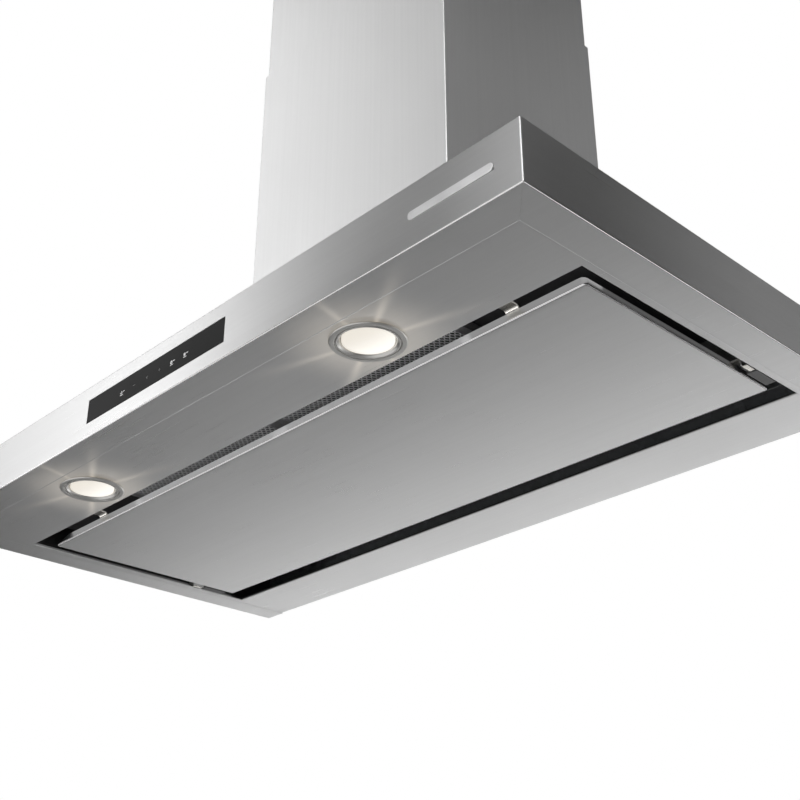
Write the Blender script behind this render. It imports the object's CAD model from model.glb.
import math

import bmesh
import bpy
from mathutils import Matrix, Vector


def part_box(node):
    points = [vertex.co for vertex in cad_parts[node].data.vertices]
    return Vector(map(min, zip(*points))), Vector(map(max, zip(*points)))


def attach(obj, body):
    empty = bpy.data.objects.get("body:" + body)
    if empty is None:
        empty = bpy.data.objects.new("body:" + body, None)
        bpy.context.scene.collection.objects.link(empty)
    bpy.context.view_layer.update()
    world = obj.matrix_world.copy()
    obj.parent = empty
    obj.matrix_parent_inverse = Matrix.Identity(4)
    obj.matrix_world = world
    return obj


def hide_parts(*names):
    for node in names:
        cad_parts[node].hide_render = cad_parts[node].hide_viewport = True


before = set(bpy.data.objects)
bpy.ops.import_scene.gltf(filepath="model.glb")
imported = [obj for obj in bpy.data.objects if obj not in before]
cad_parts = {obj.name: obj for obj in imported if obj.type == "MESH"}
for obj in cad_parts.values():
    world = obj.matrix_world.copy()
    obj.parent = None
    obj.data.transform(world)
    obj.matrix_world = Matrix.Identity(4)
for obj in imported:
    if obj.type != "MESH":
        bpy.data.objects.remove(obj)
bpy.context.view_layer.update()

# Looks of a wall-mounted chimney range hood. Metres, Z up; the wall is the plane Y = 0 and the
# hood stands out from it towards -Y. Places come from the CAD nodes' boxes.

# ---- camera ----
CAMERA_PLACE = (0.9048, -1.0387, -0.5519)
CAMERA_TURN = (116.95, 0.0, 46.49)      # degrees
CAMERA_LENS = 56.42                     # mm, on a sensor 36 mm wide

# ---- studio ----
FLOOR_DROP = 1.6        # from the middle of the canopy down to the floor
FLOOR_SIZE = 14.0
FLOOR_FILL = 0.45       # light that only the camera sees on the floor
DOME_TOP = 0.05         # brightness of the surroundings straight overhead
DOME_SIDES = 0.0
# Rows of upright softboxes: from, to and brightness of each. Heights are (middle, full height).
FRONT_BOX_Y = -2.0
FRONT_BOX_HEIGHTS = (2.1, 4.4)
FRONT_STRIPS = (
    (-6.5, -4.5, 1.3), (-4.5, -3.4, 0.9), (-3.4, -2.8, 1.5), (-2.8, -2.4, 2.45),
    (-2.4, -2.0, 2.9), (-2.0, -1.6, 0.3), (-0.8, -0.4, 0.85), (-0.4, 0.5, 1.55),
)
RIGHT_BOX_X = 2.2
RIGHT_BOX_HEIGHTS = (2.6, 3.4)
RIGHT_STRIPS = ((0.2, 1.0, 0.95), (2.6, 3.2, 0.84), (3.2, 4.0, 0.47))
# Softboxes that only show in the folded edges: place, turn in degrees, size and brightness.
EDGE_BOXES = {
    "front_floor": ((-1.0, -1.95, -1.57), (180, 0, 0), (6.0, 1.9), 0.72),
    "front_low": ((-1.6, -2.95, -0.85), (90, 0, 0), (6.0, 1.4), 0.72),
    "front_right": ((2.4, -2.0, 2.0), (90, 0, 0), (2.4, 2.4), 2.2),
    "rear_right_floor": ((2.6, 2.3, -1.57), (180, 0, 0), (2.2, 3.0), 1.3),
}
# High softbox behind the hood. It shows in the top of the canopy.
BACK_BOX = ((-4.0, 5.5, 3.2), (-90, 0, 0), (8.0, 4.0), 0.45)
# Small hidden lights in the slots round the suction panel: place, turn, size and brightness.
SLOT_BOXES = {
    "slot_front_lip": ((0.0, -0.3520, -0.0040), (0, 0, 0), (0.80, 0.062), 0.42),
    "slot_right_lip": ((0.402, -0.24, 0.0060), (0, 0, 0), (0.04, 0.24), 0.13),
    "slot_front_mesh": ((0.0, -0.3755, -0.0262), (180, 0, 0), (0.80, 0.014), 1.7),
    "slot_left_hem": ((-0.4065, -0.232, -0.0215), (90, 0, 90), (0.29, 0.014), 0.4),
}
# Softboxes that lie on the floor behind the hood and shine up. Widths are (middle, full width).
REAR_BOX_WIDTHS = (-2.5, 9.0)
REAR_STRIPS = ((2.8, 4.2, 2.6), (4.2, 6.5, 0.95))

# ---- lamps ----
LAMP_COLOUR = (1.0, 0.90, 0.76)
LAMP_X, LAMP_Y = 0.2196, -0.4251
LENS_RADIUS = 0.0229
GLOW = 0.19             # of the lamps' warm light on the steel round them
GLOW_REACH = 0.105
RAYS = 0.9              # strength of the rays in that glow
RAY_REACH = 0.1365
RAY_SHARPNESS = 26.0
RAY_TURN = 0.54         # radians between the hood's width and the longest ray

# ---- finishes, linear colour ----
STEEL = (0.57, 0.57, 0.57)
CHIMNEY_STEEL = (0.72, 0.72, 0.72)
SATIN = (0.66, 0.64, 0.60)
ZINC = (0.50, 0.52, 0.54)
ALUMINIUM = (0.72, 0.72, 0.73)
BLACK = (0.012, 0.012, 0.013)
ENAMEL = (0.042, 0.042, 0.044)
GLASS_BLACK = (0.013, 0.013, 0.013)
POLISHED = (0.93, 0.93, 0.93)
LINING = (0.20, 0.20, 0.20)
GREY_PLASTIC = (0.30, 0.31, 0.32)
GUARD_PLASTIC = (0.10, 0.10, 0.10)
FLOOR = (0.78, 0.78, 0.78)

# ---- details of the pieces, metres ----
EDGE_BREAK = 0.0002
OUTLINE_X, OUTLINE_Y = 0.452, -0.492    # steel beyond these is on the canopy's outline
INSIDE_X, INSIDE_Y = 0.4563, -0.4963    # steel within these is on the canopy's hidden side
INSIDE_Z = (-0.0279, 0.0283)
SEAM_OUT = 0.0008       # from the pan's edge out to the rim
SEAM_IN = 0.0003        # and in, behind the pan's edge
SEAM_RECESS = 0.00016   # how far the strip in the seam lies back
SEAM_DEPTH = 0.0004
SEAM_REAR = -0.004
MITRE_FILL = (0.0405, 0.00026)          # length and width
MITRE_RECESS = 0.00004
GUARD_X = 0.4112
GUARD_SIZE = (0.0102, 0.031, 0.004)
FOOT_X = 0.4134
FOOT_SIZE = (0.0050, 0.0130, 0.0006)
GUARD_HEIGHT = -0.0286
BEZEL_WALL = 0.0053     # between a bezel's rim and the hole that its body sits in
BEZEL_SKIN = 0.0017     # height of the flange that stands proud of the underside
LENS_SAG = 0.0012
LENS_DEPTH = 0.0036
SYMBOL_X = (-0.0518, -0.0315, -0.0097, 0.0110, 0.0321, 0.0530)
SYMBOL_Z = -0.0012
LIT_SYMBOLS = (0, 4, 5)
LIT_SHIFT = -0.0018     # the lit symbols stand left of centre, beside two short lines
LINE_WIDTH = 0.0006
SYMBOL_RISE = 0.00006
CATCH_STRIP = 0.0015
MESH_PITCH = 0.0032     # across an opening of the expanded mesh
MESH_STEP = 0.0034      # half the length of an opening
MESH_SWING = 0.0011     # how far a strand leans to each side
STRAND = 0.0011
STRAND_RISE = 0.0009
CORE_RECESS = 0.0018    # from the face of the mesh to its denser inner layer
SCREW_RADIUS = 0.0042
SCREW_HEIGHT = 0.0018
SCREW_RECESS = 0.0011
COLLAR_SCREWS = 8

SIDES = {"left": -1, "right": 1}


# ------------------------------------------------------------------ node graphs


class Graph:
    """A node tree that is filled by calls. A value given to an input is a constant or a socket."""

    def __init__(self, owner):
        owner.use_nodes = True
        self.tree = owner.node_tree
        self.tree.nodes.clear()

    def add(self, kind, inputs=None, output=0, **settings):
        node = self.tree.nodes.new("ShaderNode" + kind)
        for name, value in settings.items():
            setattr(node, name, value)
        for key, value in (inputs or {}).items():
            if isinstance(value, bpy.types.NodeSocket):
                self.tree.links.new(value, node.inputs[key])
            elif value is not None:
                node.inputs[key].default_value = value
        return node.outputs[output] if node.outputs else node

    def maths(self, operation, *values):
        return self.add("Math", dict(enumerate(values)), operation=operation)

    def vector(self, operation, *values, output=0):
        return self.add("VectorMath", dict(enumerate(values)), output, operation=operation)

    def mix(self, share, first, second):
        return self.add("Mix", {0: share, 6: first, 7: second}, 2, data_type="RGBA")

    def blend(self, share, first, second):
        return self.add("Mix", {0: share, 2: first, 3: second}, 0, data_type="FLOAT")

    def spread(self, value, low, high, to_low=0.0, to_high=1.0):
        """Maps low..high to to_low..to_high with a smooth step, and clamps it."""
        inputs = {0: value, 1: low, 2: high, 3: to_low, 4: to_high}
        return self.add("MapRange", inputs, interpolation_type="SMOOTHSTEP")

    def point(self):
        return self.add("TexCoord", output="Object")

    def split(self, vector):
        node = self.add("SeparateXYZ", {0: vector}).node
        return node.outputs[0], node.outputs[1], node.outputs[2]

    def join(self, x, y, z):
        return self.add("CombineXYZ", {0: x, 1: y, 2: z})

    def stretch(self, vector, scale):
        return self.vector("MULTIPLY", vector, tuple(scale))

    def noise(self, vector, scale=1.0, detail=2.0, roughness=0.5):
        inputs = {"Vector": vector, "Scale": scale, "Detail": detail, "Roughness": roughness}
        return self.add("TexNoise", inputs)

    def bump(self, height, distance):
        return self.add("Bump", {"Height": height, "Distance": distance, "Strength": 1.0})


def new_material(name):
    material = bpy.data.materials.new(name)
    return material, Graph(material)


def finish_material(graph, **inputs):
    """Ends a material's graph in one Principled shader. Input names use _ for a space."""
    named = {key.replace("_", " "): value for key, value in inputs.items()}
    shader = graph.add("BsdfPrincipled", named)
    graph.add("OutputMaterial", {"Surface": shader})


def opaque(colour):
    return (*colour, 1.0)


def shaded(graph, colour, amount, share):
    """colour made darker or lighter by up to amount, as share goes from 0 to 1."""
    dark = opaque([c * (1 - amount) for c in colour])
    light = opaque([min(1.0, c * (1 + amount)) for c in colour])
    return graph.mix(share, dark, light)


# ------------------------------------------------------------------ materials


def grain_axes(graph, along):
    """The point's distance along the polishing grain and the two distances across it."""
    x, y, z = graph.split(graph.point())
    if along == "Z":
        return z, x, y
    normal_x = graph.split(graph.add("TexCoord", output="Normal"))[0]
    on_end = graph.maths("GREATER_THAN", graph.maths("ABSOLUTE", normal_x), 0.7)
    return graph.blend(on_end, x, y), graph.blend(on_end, y, x), z


def across_grain(graph, along):
    """World direction in the surface and across the grain, in which highlights are drawn out."""
    normal = graph.add("NewGeometry", output="Normal")
    if along == "Z":
        line = (0.0, 0.0, 1.0)
    else:
        normal_x = graph.split(graph.add("TexCoord", output="Normal"))[0]
        on_end = graph.maths("GREATER_THAN", graph.maths("ABSOLUTE", normal_x), 0.7)
        line = graph.join(graph.maths("SUBTRACT", 1.0, on_end), on_end, 0.0)
    turned = graph.add("VectorTransform", {0: line}, vector_type="VECTOR",
                       convert_from="OBJECT", convert_to="WORLD")
    return graph.vector("NORMALIZE", graph.vector("CROSS_PRODUCT", normal, turned))


def lamp_glow(graph):
    """Warm halo with soft rays on the underside round each lamp, as an emission strength."""
    x, y, z = graph.split(graph.point())
    from_lamp = graph.maths("SUBTRACT", graph.maths("ABSOLUTE", x), LAMP_X)
    on_side = graph.join(from_lamp, graph.maths("SUBTRACT", y, LAMP_Y), 0.0)
    distance = graph.vector("LENGTH", on_side, output=1)
    along, behind, _ = graph.split(on_side)
    rightwards = graph.maths("MULTIPLY", along, graph.maths("SIGN", x))
    angle = graph.maths("ADD", graph.maths("ARCTAN2", behind, rightwards), RAY_TURN)
    star = graph.maths("ABSOLUTE", graph.maths("COSINE", graph.maths("MULTIPLY", angle, 4.0)))
    star = graph.maths("POWER", star, RAY_SHARPNESS)
    lengthwise = graph.maths("ABSOLUTE", graph.maths("COSINE", angle))
    star = graph.maths("MULTIPLY", star, lengthwise)
    halo = graph.spread(distance, 0.028, GLOW_REACH, 1.0, 0.0)
    fading = graph.spread(distance, 0.03, RAY_REACH, 1.0, 0.0)
    rays = graph.maths("MULTIPLY", graph.maths("MULTIPLY", star, fading), RAYS)
    glow = graph.maths("ADD", graph.maths("MULTIPLY", halo, halo), rays)
    facing = graph.split(graph.add("TexCoord", output="Normal"))[2]
    underneath = graph.maths("LESS_THAN", facing, -0.9)
    return graph.maths("MULTIPLY", graph.maths("MULTIPLY", glow, underneath), GLOW)


def on_folds(graph):
    """1 on the outer edges, folds and corners of a sheet, where the polishing wears smooth."""
    x, y, z = graph.split(graph.add("TexCoord", output="Normal"))
    x, y = graph.maths("ABSOLUTE", x), graph.maths("ABSOLUTE", y)
    wide = graph.maths("MAXIMUM", x, y)
    lower = graph.maths("SUBTRACT", wide, z)
    upright = graph.maths("ADD", x, y)
    return graph.spread(graph.maths("MAXIMUM", lower, upright), 1.14, 1.30)


def on_outline(graph):
    """1 along the canopy's front and ends, but not on the inner edges of its underside."""
    x, y, _ = graph.split(graph.point())
    at_end = graph.maths("GREATER_THAN", graph.maths("ABSOLUTE", x), OUTLINE_X)
    return graph.maths("MAXIMUM", at_end, graph.maths("LESS_THAN", y, OUTLINE_Y))


def inside_canopy(graph):
    """1 on the hidden faces of the canopy's sheets, which carry a dark sound-deadening coat."""
    x, y, z = graph.split(graph.point())
    across = graph.maths("LESS_THAN", graph.maths("ABSOLUTE", x), INSIDE_X)
    behind = graph.maths("GREATER_THAN", y, INSIDE_Y)
    above = graph.maths("GREATER_THAN", z, INSIDE_Z[0])
    below = graph.maths("LESS_THAN", z, INSIDE_Z[1])
    return graph.maths("MULTIPLY", graph.maths("MULTIPLY", across, behind),
                       graph.maths("MULTIPLY", above, below))


def brushed_steel(name, along, colour=STEEL, roughness=0.30, lit=False, lined=False):
    """Stainless sheet with long polishing lines, cloudy patches and slightly uneven gloss.

    lit adds the lamps' glow. lined is for the canopy, which is dark inside.
    """
    material, graph = new_material(name)
    distance, side_a, side_b = grain_axes(graph, along)
    line = graph.join(distance, side_a, side_b)
    fine = graph.noise(graph.stretch(line, (9, 1500, 1500)), detail=2)
    broad = graph.noise(graph.stretch(line, (2.5, 260, 260)), detail=3)
    cloud = graph.noise(graph.point(), 5, detail=2)
    share = graph.blend(0.5, broad, cloud)
    uneven = graph.maths("MULTIPLY_ADD", fine, 0.10, roughness - 0.05)
    uneven = graph.maths("MULTIPLY_ADD", cloud, 0.06, graph.maths("SUBTRACT", uneven, 0.03))
    height = graph.maths("ADD", fine, graph.maths("MULTIPLY", broad, 0.6))
    fold = on_folds(graph)
    if lined:
        fold = graph.maths("MULTIPLY", fold, on_outline(graph))
    base = graph.mix(fold, shaded(graph, colour, 0.07, share), opaque(POLISHED))
    if lined:
        base = graph.mix(inside_canopy(graph), base, opaque(LINING))
    finish_material(
        graph,
        Base_Color=base,
        Metallic=1.0,
        Roughness=graph.blend(fold, uneven, 0.16),
        Anisotropic=0.6,
        Tangent=across_grain(graph, along),
        Normal=graph.bump(height, 0.00004),
        Emission_Color=opaque(LAMP_COLOUR),
        Emission_Strength=lamp_glow(graph) if lit else 0.0,
    )
    return material


def turned_steel(name, colour=SATIN, roughness=0.24):
    """Satin steel pieces with fine turning or pressing lines."""
    material, graph = new_material(name)
    point = graph.point()
    fine = graph.noise(point, 1400, detail=2)
    cloud = graph.noise(point, 60, detail=3)
    finish_material(
        graph,
        Base_Color=shaded(graph, colour, 0.06, cloud),
        Metallic=1.0,
        Roughness=graph.maths("MULTIPLY_ADD", cloud, 0.12, roughness - 0.06),
        Anisotropic=0.3,
        Normal=graph.bump(fine, 0.00002),
    )
    return material


def galvanised_steel(name):
    """Zinc-coated sheet with its crystal spangle."""
    material, graph = new_material(name)
    point = graph.point()
    wobble = graph.add("TexNoise", {"Vector": point, "Scale": 90.0, "Detail": 2.0}, "Color")
    bent = graph.vector("ADD", point, graph.vector("MULTIPLY", wobble, (0.006, 0.006, 0.006)))
    cells = graph.add("TexVoronoi", {"Vector": bent, "Scale": 95.0}, "Color")
    tone = graph.split(cells)[0]
    cloud = graph.noise(point, 12, detail=3)
    finish_material(
        graph,
        Base_Color=shaded(graph, ZINC, 0.20, graph.blend(0.3, tone, cloud)),
        Metallic=1.0,
        Roughness=graph.maths("MULTIPLY_ADD", tone, 0.22, 0.32),
        Normal=graph.bump(tone, 0.00003),
    )
    return material


def aluminium_sheet(name, roughness=0.36, metallic=1.0):
    material, graph = new_material(name)
    point = graph.point()
    fine = graph.noise(graph.stretch(point, (60, 900, 900)), detail=2)
    cloud = graph.noise(point, 25, detail=3)
    finish_material(
        graph,
        Base_Color=shaded(graph, ALUMINIUM, 0.10, cloud),
        Metallic=metallic,
        Roughness=graph.maths("MULTIPLY_ADD", cloud, 0.14, roughness - 0.07),
        Normal=graph.bump(fine, 0.00003),
    )
    return material


def black_paint(name, colour):
    """Stoved black enamel with a faint orange-peel surface."""
    material, graph = new_material(name)
    point = graph.point()
    peel = graph.noise(point, 420, detail=2)
    cloud = graph.noise(point, 18, detail=3)
    finish_material(
        graph,
        Base_Color=shaded(graph, colour, 0.4, cloud),
        Roughness=graph.maths("MULTIPLY_ADD", cloud, 0.16, 0.40),
        Normal=graph.bump(peel, 0.00008),
    )
    return material


def moulded_plastic(name, colour, roughness=0.5):
    """Plastic with the fine grain of an etched mould."""
    material, graph = new_material(name)
    point = graph.point()
    grain = graph.noise(point, 1600, detail=3)
    cloud = graph.noise(point, 30, detail=2)
    finish_material(
        graph,
        Base_Color=shaded(graph, colour, 0.12, cloud),
        Roughness=graph.maths("MULTIPLY_ADD", grain, 0.16, roughness - 0.08),
        Normal=graph.bump(grain, 0.00005),
    )
    return material


def black_glass(name):
    """Black etched glass, with the faint haze of a wiped surface in its gloss."""
    material, graph = new_material(name)
    point = graph.point()
    haze = graph.noise(graph.stretch(point, (14, 60, 60)), detail=4, roughness=0.6)
    finish_material(
        graph,
        Base_Color=shaded(graph, GLASS_BLACK, 0.25, haze),
        Roughness=graph.maths("MULTIPLY_ADD", haze, 0.12, 0.30),
        IOR=1.45,
        Specular_IOR_Level=0.06,
    )
    return material


def frosted_lens(name):
    """Frosted lens, lit from behind by warm LEDs. It is brighter towards the wall side."""
    material, graph = new_material(name)
    point = graph.point()
    frost = graph.noise(point, 900, detail=3)
    near = LAMP_Y - LENS_RADIUS
    rear = graph.spread(graph.split(point)[1], near, near + 2.2 * LENS_RADIUS)
    finish_material(
        graph,
        Base_Color=(0.30, 0.29, 0.27, 1),
        Roughness=graph.maths("MULTIPLY_ADD", frost, 0.2, 0.25),
        Emission_Color=graph.mix(rear, (0.95, 0.89, 0.79, 1), (1.0, 0.97, 0.91, 1)),
        Emission_Strength=graph.spread(rear, 0, 1, 0.74, 0.92),
        Normal=graph.bump(frost, 0.00004),
    )
    return material


def circuit_board(name, colour):
    """Solder mask with copper tracks that show through it."""
    material, graph = new_material(name)
    point = graph.point()
    tracks = graph.add("TexBrick", {"Vector": point, "Scale": 160.0, "Mortar Size": 0.06}, "Fac")
    cloud = graph.noise(point, 60, detail=2)
    track_colour = opaque([min(1.0, c * 1.8 + 0.02) for c in colour])
    base = graph.mix(tracks, shaded(graph, colour, 0.15, cloud), track_colour)
    finish_material(
        graph,
        Base_Color=base,
        Roughness=graph.maths("MULTIPLY_ADD", tracks, -0.12, 0.42),
        Normal=graph.bump(tracks, 0.00004),
    )
    return material


def print_material(name, tone, glow):
    """Screen print on the glass. The lit symbols are brighter."""
    material, graph = new_material(name)
    speck = graph.noise(graph.point(), 3000, detail=2)
    finish_material(
        graph,
        Base_Color=shaded(graph, (tone, tone, tone), 0.08, speck),
        Roughness=0.6,
        Emission_Color=(1, 1, 1, 1),
        Emission_Strength=glow,
    )
    return material


def floor_material(name):
    """Pale paper floor. The camera sees it evenly lit, so it stays pale between the softboxes."""
    material, graph = new_material(name)
    cloud = graph.noise(graph.point(), 1.5, detail=3)
    seen = graph.add("LightPath", output="Is Camera Ray")
    finish_material(
        graph,
        Base_Color=shaded(graph, FLOOR, 0.02, cloud),
        Roughness=0.8,
        Emission_Color=(1, 1, 1, 1),
        Emission_Strength=graph.maths("MULTIPLY", seen, FLOOR_FILL),
    )
    return material


def cad_materials():
    """One finish for each CAD node, chosen by the node's name."""
    canopy = brushed_steel("canopy_steel", "X", lit=True, lined=True)
    panel = brushed_steel("panel_steel", "X")
    chimney = brushed_steel("chimney_steel", "Z", CHIMNEY_STEEL, roughness=0.34)
    zinc = galvanised_steel("zinc_sheet")
    satin = turned_steel("satin_steel")
    bezel = turned_steel("bezel_steel", (0.62, 0.61, 0.59), 0.34)
    aluminium = aluminium_sheet("filter_aluminium")
    paint = black_paint("black_enamel", ENAMEL)
    black = moulded_plastic("black_plastic", BLACK)
    choice = {
        "canopy_shell": canopy, "underside_pan": canopy, "suction_panel": panel,
        "hinge_bracket": panel,
        "lower_chimney_cover": chimney, "upper_chimney_cover": chimney,
        "rear_plate": zinc, "wall_hook": zinc, "blower_box": zinc, "ceiling_bracket": zinc,
        "cover_foot": zinc, "motor_bracket": zinc, "duct_collar": zinc, "filter_rail": zinc,
        "panel_stiffener": zinc, "hinge_ear": zinc, "fan_motor": zinc,
        "front_partition": paint, "filter_carrier": paint,
        "lamp_bezel": bezel, "lamp_spring": satin, "hinge_pin": satin, "catch_arm": satin,
        "catch_magnet": satin, "filter_latch": satin, "cover_screw": satin, "fan_shaft": satin,
        "name_bar": satin,
        "filter_frame": aluminium, "filter_mesh": aluminium_sheet("mesh_aluminium", 0.5, 0.4),
        "lamp_body": aluminium,
        "damper_flap": aluminium,
        "control_glass": black_glass("control_glass"),
        "lamp_lens": frosted_lens("lamp_lens"),
        "led_board": circuit_board("led_board", (0.60, 0.60, 0.56)),
        "control_board": circuit_board("control_board", (0.010, 0.085, 0.030)),
        "control_holder": black, "fan_scroll": black, "fan_impeller": black, "cable_gland": black,
        "wiring_box": moulded_plastic("grey_plastic", GREY_PLASTIC),
    }
    for node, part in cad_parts.items():
        stem = max((key for key in choice if node.startswith(key)), key=len)
        part.data.materials.clear()
        part.data.materials.append(choice[stem])
        soften_edges(part)
    return choice


def soften_edges(part):
    """Breaks the sharp edges of a CAD piece by a hair and keeps its flat faces flat."""
    part.data.shade_smooth()
    weld = part.modifiers.new("Weld", "WELD")
    weld.merge_threshold = 0.00001
    merge = part.modifiers.new("Flats", "DECIMATE")
    merge.decimate_type = "DISSOLVE"
    merge.angle_limit = math.radians(0.5)
    edges = part.modifiers.new("Edges", "BEVEL")
    edges.width = EDGE_BREAK
    edges.segments = 2
    edges.limit_method = "ANGLE"
    edges.angle_limit = math.radians(35)
    part.modifiers.new("Normals", "WEIGHTED_NORMAL")


# ------------------------------------------------------------------ detailed pieces


def in_scene(name, data):
    made = bpy.data.objects.new(name, data)
    bpy.context.scene.collection.objects.link(made)
    return made


def mesh_of(name, bm):
    """Ends the bmesh and gives its mesh, with the normals outwards."""
    bmesh.ops.recalc_face_normals(bm, faces=bm.faces)
    mesh = bpy.data.meshes.new(name)
    bm.to_mesh(mesh)
    bm.free()
    return mesh


def add_piece(name, shape, material, body, slot, *replaced):
    """A smooth-shaded piece on its CAD body. It hides the CAD nodes that it stands for."""
    mesh = shape if isinstance(shape, bpy.types.Mesh) else mesh_of(name, shape)
    mesh.materials.clear()
    mesh.materials.append(material)
    mesh.shade_smooth()
    piece = in_scene(name, mesh)
    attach(piece, body)
    if replaced:
        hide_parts(*replaced)
    return piece


def keep_flats(piece, bevel=0.0, segments=3):
    """Rounds a piece's edges if asked, and keeps its flat faces flat in the shading."""
    if bevel:
        rounding = piece.modifiers.new("Edges", "BEVEL")
        rounding.width = bevel
        rounding.segments = segments
        rounding.limit_method = "ANGLE"
        rounding.angle_limit = math.radians(40)
    piece.modifiers.new("Normals", "WEIGHTED_NORMAL").keep_sharp = True
    return piece


def fillet(points, radius, steps=4, closed=True):
    """The outline with each corner rounded."""
    rounded = []
    for i, point in enumerate(points):
        point = Vector(point)
        if not closed and i in (0, len(points) - 1):
            rounded.append(point)
            continue
        back = Vector(points[i - 1]) - point
        ahead = Vector(points[(i + 1) % len(points)]) - point
        start = point + back.normalized() * min(radius, back.length * 0.45)
        end = point + ahead.normalized() * min(radius, ahead.length * 0.45)
        for k in range(steps + 1):
            t = k / steps
            rounded.append(start * (1 - t) ** 2 + point * 2 * t * (1 - t) + end * t**2)
    return rounded


def rectangle(width, height, radius=0.0):
    """Corner points round the origin, rounded if a radius is given."""
    signs = ((-1, -1), (1, -1), (1, 1), (-1, 1))
    corners = [(a * width / 2, b * height / 2) for a, b in signs]
    return fillet(corners, radius, 6) if radius else corners


def circle(radius, steps):
    turn = 2 * math.pi / steps
    return [(radius * math.cos(turn * i), radius * math.sin(turn * i)) for i in range(steps)]


def lathe(bm, profile, place, steps=96, closed=True):
    """Turns a profile of (radius, height) points about an axis. A radius of 0 is a pole."""
    rings = []
    for radius, height in profile:
        outline = circle(radius, steps) if radius > 0 else [(0, 0)]
        rings.append([bm.verts.new(place @ Vector((x, y, height))) for x, y in outline])
    pairs = list(zip(rings, rings[1:])) + ([(rings[-1], rings[0])] if closed else [])
    for near, far in pairs:
        for i in range(steps):
            j = (i + 1) % steps
            near_side = [near[i % len(near)], near[j % len(near)]]
            far_side = [far[j % len(far)], far[i % len(far)]]
            bm.faces.new(list(dict.fromkeys(near_side + far_side)))
    return bm


def plate(bm, outline, thickness, place):
    """A flat outline in the place's X and Y, made solid along its Z."""
    near = [bm.verts.new(place @ Vector((p[0], p[1], 0))) for p in outline]
    far = [bm.verts.new(place @ Vector((p[0], p[1], thickness))) for p in outline]
    bm.faces.new(near)
    bm.faces.new(far)
    for i in range(len(outline)):
        j = (i + 1) % len(outline)
        bm.faces.new([near[i], near[j], far[j], far[i]])
    return bm


def stroke(bm, points, width, thickness, place, closed=False):
    """A drawn line: a solid band of one width along a row of points."""
    points = [Vector(p) for p in points]
    count = len(points)
    rows = []
    for i, point in enumerate(points):
        ahead = points[(i + 1) % count] if closed or i < count - 1 else point
        behind = points[i - 1] if closed or i else point
        side = (ahead - behind).normalized().orthogonal() * width / 2
        ends = [point - side, point + side]
        rows.append([
            bm.verts.new(place @ Vector((p.x, p.y, z))) for p, z in
            ((ends[0], 0), (ends[1], 0), (ends[1], thickness), (ends[0], thickness))
        ])
    for near, far in list(zip(rows, rows[1:])) + ([(rows[-1], rows[0])] if closed else []):
        for k in range(4):
            m = (k + 1) % 4
            bm.faces.new([near[k], near[m], far[m], far[k]])
    if not closed:
        bm.faces.new(rows[0])
        bm.faces.new(rows[-1])
    return bm


def facing_front(x, y, z):
    """A frame whose X and Y lie along the hood's X and Z, and whose Z points at the viewer."""
    return Matrix.Translation((x, y, z)) @ Matrix.Rotation(math.pi / 2, 4, "X")


def middle_of(node):
    low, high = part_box(node)
    return (low + high) / 2


def lamp(side, steel, lens_material):
    """Two-step bezel with a groove, and a domed lens that sits a little back inside it."""
    centre = middle_of(f"lamp_bezel_{side}")
    low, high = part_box(f"lamp_bezel_{side}")
    place = Matrix.Translation((centre.x, centre.y, low.z))
    outer, tall = (high.x - low.x) / 2, high.z - low.z
    hole, skin = outer - BEZEL_WALL, BEZEL_SKIN
    profile = [
        (outer, skin), (outer, 0.0008), (outer - 0.0009, 0), (0.0290, 0), (0.0287, 0.0014),
        (0.0279, 0.0014), (0.0276, 0), (0.0264, 0), (0.0246, 0.0017), (0.0240, 0.0032),
        (0.0240, tall), (hole, tall), (hole, skin),
    ]
    bm = lathe(bmesh.new(), fillet(profile, 0.0003, 3), place, 128)
    keep_flats(add_piece(f"bezel_{side}", bm, steel, "root", "satin_steel", f"lamp_bezel_{side}"))
    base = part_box(f"lamp_lens_{side}")[0].z
    rings = 16
    dome = [(LENS_RADIUS * i / rings, LENS_SAG * (i / rings) ** 2) for i in range(rings + 1)]
    profile = dome + [(LENS_RADIUS, LENS_DEPTH), (0, LENS_DEPTH)]
    place = Matrix.Translation((centre.x, centre.y, base))
    bm = lathe(bmesh.new(), profile, place, 96, closed=False)
    add_piece(f"lens_{side}", bm, lens_material, "root", "lamp_lens", f"lamp_lens_{side}")


# The symbols are lists of (points, whether the line closes on itself), in metres from the middle.


def power_symbol():
    arc = [(0.0013 * math.sin(a / 10), 0.0013 * math.cos(a / 10)) for a in range(8, 56, 6)]
    return [(arc, False), ([(0, 0.0019), (0, 0.0003)], False)]


def minus_symbol():
    return [([(-0.0018, 0), (0.0018, 0)], False)]


def plus_symbol():
    return minus_symbol() + [([(0, -0.0015), (0, 0.0015)], False)]


def fan_symbol():
    blades = []
    for turn in (0.3, 2.394, 4.489):
        outline = [(r * math.cos(turn + t), r * math.sin(turn + t)) for r, t in
                   ((0.0004, 0.0), (0.0012, 0.2), (0.0018, 0.7))]
        blades.append((outline, False))
    return blades + [(circle(0.0004, 10), True)]


def clock_symbol():
    return [(circle(0.0014, 18), True), ([(0, 0.0009), (0, 0), (0.0007, 0)], False)]


def light_symbol():
    rays = []
    for i in range(8):
        x, y = math.cos(i * math.pi / 4), math.sin(i * math.pi / 4)
        rays.append(([(0.0012 * x, 0.0012 * y), (0.0018 * x, 0.0018 * y)], False))
    return rays + [(circle(0.0007, 14), True)]


def beside(lines, shift):
    return [([(x + shift, y) for x, y in line], closed) for line, closed in lines]


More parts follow.
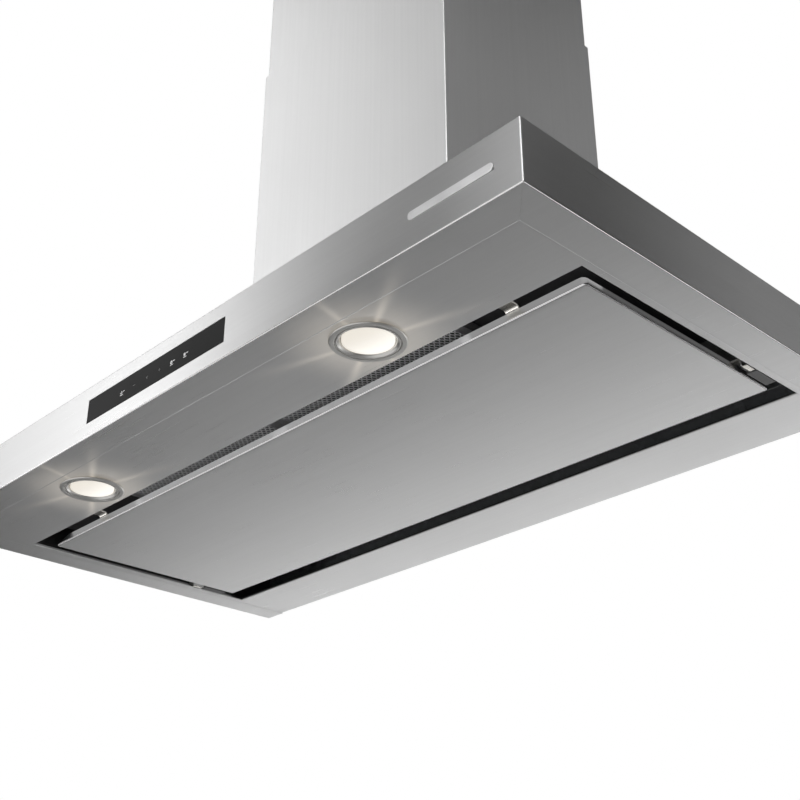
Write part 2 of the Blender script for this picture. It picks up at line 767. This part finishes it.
def touch_control(glass, bright, dim):
    """Glass strip with rounded corners, and six plain symbols printed on its front."""
    low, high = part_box("control_glass")
    centre = (low + high) / 2
    size = high - low
    place = facing_front(centre.x, high.y, centre.z)
    bm = plate(bmesh.new(), rectangle(size.x, size.z, 0.0013), size.y, place)
    piece = add_piece("touch_glass", bm, glass, "root", "black_glass", "control_glass")
    keep_flats(piece, 0.0003, 2)
    symbols = (power_symbol, minus_symbol, fan_symbol, plus_symbol, clock_symbol, light_symbol)
    for i, (x, symbol) in enumerate(zip(SYMBOL_X, symbols)):
        lit = i in LIT_SYMBOLS
        place = facing_front(x, low.y, SYMBOL_Z)
        bm = bmesh.new()
        for line, closed in beside(symbol(), LIT_SHIFT if lit else 0):
            stroke(bm, line, LINE_WIDTH, SYMBOL_RISE, place, closed)
        if lit:
            for start, end, height in ((0.0008, 0.0036, 0.0006), (-0.0034, 0.0012, -0.0027)):
                stroke(bm, [(start, height), (end, height)], LINE_WIDTH, SYMBOL_RISE, place)
        add_piece(f"touch_symbol_{i + 1}", bm, bright if lit else dim, "root", "black_glass")


def name_bar(material):
    """Plain polished bar with round ends."""
    low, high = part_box("name_bar")
    size = high - low
    place = facing_front((low.x + high.x) / 2, high.y, (low.z + high.z) / 2)
    bm = plate(bmesh.new(), rectangle(size.x, size.z, size.z * 0.49), size.y, place)
    piece = add_piece("plain_name_bar", bm, material, "root", "satin_steel", "name_bar")
    keep_flats(piece, 0.0004, 3)


def ribbon(bm, line, half_widths, thickness, place):
    """A strip bent along a line in the place's Y and Z, with its own half width at each point."""
    rows = []
    for i, point in enumerate(line):
        point = Vector(point)
        behind, ahead = Vector(line[max(i - 1, 0)]), Vector(line[min(i + 1, len(line) - 1)])
        side = (ahead - behind).normalized().orthogonal() * thickness / 2
        half = half_widths[i]
        low, high = point - side, point + side
        ends = ((-half, low), (half, low), (half, high), (-half, high))
        rows.append([bm.verts.new(place @ Vector((x, p.x, p.y))) for x, p in ends])
    for near, far in zip(rows, rows[1:]):
        for k in range(4):
            m = (k + 1) % 4
            bm.faces.new([near[k], near[m], far[m], far[k]])
    bm.faces.new(rows[0])
    bm.faces.new(rows[-1])
    return bm


def catch(side, material):
    """Strip that rises from the tray and ends in a round tongue under the magnet."""
    node = f"catch_arm_{side}"
    low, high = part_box(node)
    half = (high.x - low.x) / 2
    top = high.z - CATCH_STRIP / 2
    foot, bend = low.z + CATCH_STRIP / 2, high.y - 0.014
    bends = [(high.y, foot), (bend, foot), (bend - 0.008, top), (low.y + half, top)]
    line = fillet(bends, 0.003, 4, closed=False)
    widths = [half] * len(line)
    steps = 12
    for i in range(1, steps + 1):
        turn = math.pi / 2 * i / steps
        line.append(Vector((low.y + half - half * math.sin(turn) * 0.999, top)))
        widths.append(half * max(math.cos(turn), 0.05))
    place = Matrix.Translation(((low.x + high.x) / 2, 0, 0))
    bm = ribbon(bmesh.new(), line, widths, CATCH_STRIP, place)
    piece = add_piece(f"catch_tongue_{side}", bm, material, "suction_panel", "satin_steel", node)
    keep_flats(piece, 0.0003, 2)


def seam_strip(material):
    """Flush strip in the seam between the rim and the pan, and the filled mitres of the rim."""
    low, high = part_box("underside_pan")

    def three_sides(inset):
        near, left, right = low.y + inset, low.x + inset, high.x - inset
        return [(left, SEAM_REAR), (left, near), (right, near), (right, SEAM_REAR)]

    bm = bmesh.new()
    outline = three_sides(-SEAM_OUT) + three_sides(SEAM_IN)[::-1]
    plate(bm, outline, SEAM_DEPTH, Matrix.Translation((0, 0, low.z + SEAM_RECESS)))
    for sign in SIDES.values():
        corner = Vector((sign * (high.x + SEAM_OUT), low.y - SEAM_OUT, low.z + MITRE_RECESS))
        turn = Matrix.Rotation(-sign * math.pi / 4, 4, "Z")
        outwards = turn @ Vector((sign * (MITRE_FILL[0] / 2 + 0.0003), 0, 0))
        place = Matrix.Translation(corner + outwards) @ turn
        plate(bm, rectangle(*MITRE_FILL), SEAM_DEPTH, place)
    keep_flats(add_piece("seam_strip", bm, material, "root", "stainless"))


def hinge_guard(side, sign, plastic, steel):
    """Moulded guard behind each hinge pin, and the bright foot under the hinge bracket."""
    low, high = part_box(f"hinge_bracket_{side}")
    behind = high.y + 0.001 + GUARD_SIZE[1] / 2
    pieces = (
        ("guard", GUARD_SIZE, GUARD_X, behind, plastic, "black_plastic"),
        ("foot", FOOT_SIZE, FOOT_X, (low.y + high.y) / 2, steel, "satin_steel"),
    )
    for name, size, x, y, material, slot in pieces:
        place = Matrix.Translation((sign * x, y, GUARD_HEIGHT))
        bm = plate(bmesh.new(), rectangle(size[0], size[1], 0.0008), size[2], place)
        keep_flats(add_piece(f"hinge_{name}_{side}", bm, material, "root", slot), 0.0002, 2)


def filter_mesh(side, material, dark):
    """Expanded mesh: zigzag strands that meet at their bends, over a denser inner layer."""
    low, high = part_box(f"filter_mesh_{side}")
    columns = int((high.x - low.x) / MESH_PITCH)
    rows = int((high.y - low.y) / MESH_STEP)
    pitch, step = (high.x - low.x) / columns, (high.y - low.y) / rows
    bm = bmesh.new()
    for column in range(columns):
        middle = low.x + pitch * (column + 0.5)
        line = []
        for row in range(rows + 1):
            lean = MESH_SWING if (row + column) % 2 else -MESH_SWING
            line.append((middle + lean, low.y + step * row))
        stroke(bm, line, STRAND, STRAND_RISE, Matrix.Translation((0, 0, low.z)))
    add_piece(f"expanded_mesh_{side}", bm, material, "root", "aluminium", f"filter_mesh_{side}")
    base = low.z + CORE_RECESS
    place = Matrix.Translation(((low.x + high.x) / 2, (low.y + high.y) / 2, base))
    inner = rectangle(high.x - low.x, high.y - low.y)
    bm = plate(bmesh.new(), inner, high.z - base, place)
    add_piece(f"mesh_core_{side}", bm, dark, "root", "aluminium")


def screw_head(radius, height):
    """Pan head with a cross recess, as a mesh that all such screws share."""
    profile = [(0, height), (radius * 0.55, height * 0.96), (radius * 0.9, height * 0.62),
               (radius, height * 0.2), (radius, 0), (0, 0)]
    bm = lathe(bmesh.new(), profile, Matrix.Identity(4), 32, closed=False)
    head = in_scene("screw_head", mesh_of("screw_head", bm))
    bm = bmesh.new()
    width, length = radius * 0.2, radius * 0.95
    place = Matrix.Translation((0, 0, height - SCREW_RECESS))
    for across, along in ((width, length), (length, width)):
        plate(bm, rectangle(across, along), 2 * SCREW_RECESS, place)
    cutter = in_scene("cross", mesh_of("cross", bm))
    cut = head.modifiers.new("Recess", "BOOLEAN")
    cut.object = cutter
    cut.solver = "EXACT"
    cut.use_self = True
    bpy.context.view_layer.update()
    graph = bpy.context.evaluated_depsgraph_get()
    made = bpy.data.meshes.new_from_object(head.evaluated_get(graph))
    bpy.data.objects.remove(head)
    bpy.data.objects.remove(cutter)
    return made


def screw(name, head, place, body, material, *replaced):
    mesh = head.copy()
    mesh.transform(place)
    add_piece(name, mesh, material, body, "satin_steel", *replaced)
    mesh.set_sharp_from_angle(angle=math.radians(35))


def screws(material):
    """Cover screws, and those that hold the duct collar."""
    head = screw_head(SCREW_RADIUS, SCREW_HEIGHT)
    for side, sign in SIDES.items():
        node = f"cover_screw_{side}"
        low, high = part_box(node)
        face = high.x - SCREW_HEIGHT if sign > 0 else low.x + SCREW_HEIGHT
        centre = middle_of(node)
        turn = Matrix.Rotation(sign * math.pi / 2, 4, "Y")
        place = Matrix.Translation((face, centre.y, centre.z)) @ turn
        screw(f"cover_screw_head_{side}", head, place, "upper_chimney", material, node)
    low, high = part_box("duct_collar")
    middle = (low + high) / 2
    flange = (high.x - low.x) / 2 - 0.008
    for i in range(COLLAR_SCREWS):
        angle = 2 * math.pi * (i + 0.5) / COLLAR_SCREWS
        x = middle.x + flange * math.cos(angle)
        y = middle.y + flange * math.sin(angle)
        place = Matrix.Translation((x, y, low.z + 0.0012))
        screw(f"collar_screw_{i + 1}", head, place, "root", material)


# ------------------------------------------------------------------ studio


def add_camera():
    lens = bpy.data.cameras.new("camera")
    lens.lens = CAMERA_LENS
    lens.sensor_width = 36.0
    camera = in_scene("camera", lens)
    camera.location = CAMERA_PLACE
    camera.rotation_euler = [math.radians(a) for a in CAMERA_TURN]
    bpy.context.scene.camera = camera


def add_world():
    """A white backdrop for the camera. All else gets a weak dome that is brightest overhead."""
    world = bpy.data.worlds.new("studio")
    bpy.context.scene.world = world
    graph = Graph(world)
    height = graph.split(graph.add("TexCoord", output="Generated"))[2]
    level = graph.spread(height, 0.62, 0.95, DOME_SIDES, DOME_TOP)
    dome = graph.add("Background", {"Color": level, "Strength": 1.0})
    white = graph.add("Background", {"Color": (1, 1, 1, 1), "Strength": 1.0})
    seen = graph.add("LightPath", output="Is Camera Ray")
    graph.add("OutputWorld", {"Surface": graph.add("MixShader", {0: seen, 1: dome, 2: white})})


def softbox(name, place, turn, size, level):
    """An evenly bright rectangle. level is its brightness, so its power grows with its area."""
    lamp = bpy.data.lights.new(name, "AREA")
    lamp.shape = "RECTANGLE"
    lamp.size, lamp.size_y = size
    lamp.energy = size[0] * size[1] * math.pi * level
    light = in_scene(name, lamp)
    light.location = place
    light.rotation_euler = [math.radians(a) for a in turn]
    light.visible_camera = False


def add_lights():
    for name, (place, turn, size, level) in (EDGE_BOXES | SLOT_BOXES).items():
        softbox(name, place, turn, size, level)
    softbox("back", *BACK_BOX)
    middle, height = FRONT_BOX_HEIGHTS
    for i, (low, high, level) in enumerate(FRONT_STRIPS):
        place = ((low + high) / 2, FRONT_BOX_Y, middle)
        softbox(f"front_{i + 1}", place, (90, 0, 0), (high - low, height), level)
    middle, height = RIGHT_BOX_HEIGHTS
    for i, (low, high, level) in enumerate(RIGHT_STRIPS):
        place = (RIGHT_BOX_X, (low + high) / 2, middle)
        softbox(f"right_{i + 1}", place, (90, 0, 90), (high - low, height), level)
    middle, width = REAR_BOX_WIDTHS
    for i, (low, high, level) in enumerate(REAR_STRIPS):
        place = (middle, (low + high) / 2, 0.03 - FLOOR_DROP)
        softbox(f"rear_{i + 1}", place, (180, 0, 0), (width, high - low), level)


def add_floor():
    bm = bmesh.new()
    bmesh.ops.create_grid(bm, x_segments=2, y_segments=2, size=FLOOR_SIZE / 2)
    floor = in_scene("floor", mesh_of("floor", bm))
    floor.location = (0, 0, -FLOOR_DROP)
    floor.data.materials.append(floor_material("floor"))


def build():
    scene = bpy.context.scene
    scene.view_settings.view_transform = "Standard"
    add_camera()
    add_world()
    add_lights()
    add_floor()
    finish = cad_materials()
    satin = finish["cover_screw"]
    core = black_paint("mesh_core", BLACK)
    guard = moulded_plastic("guard_plastic", GUARD_PLASTIC)
    for side, sign in SIDES.items():
        lamp(side, finish["lamp_bezel"], finish["lamp_lens"])
        catch(side, finish["catch_arm"])
        filter_mesh(side, finish["filter_mesh"], core)
    touch_control(
        finish["control_glass"],
        print_material("bright_print", 0.85, 0.35),
        print_material("dim_print", 0.22, 0.0),
    )
    name_bar(turned_steel("polished_bar", (0.92, 0.92, 0.92), 0.30))
    screws(satin)
    seam_strip(finish["suction_panel"])
    for side, sign in SIDES.items():
        hinge_guard(side, sign, guard, satin)


build()
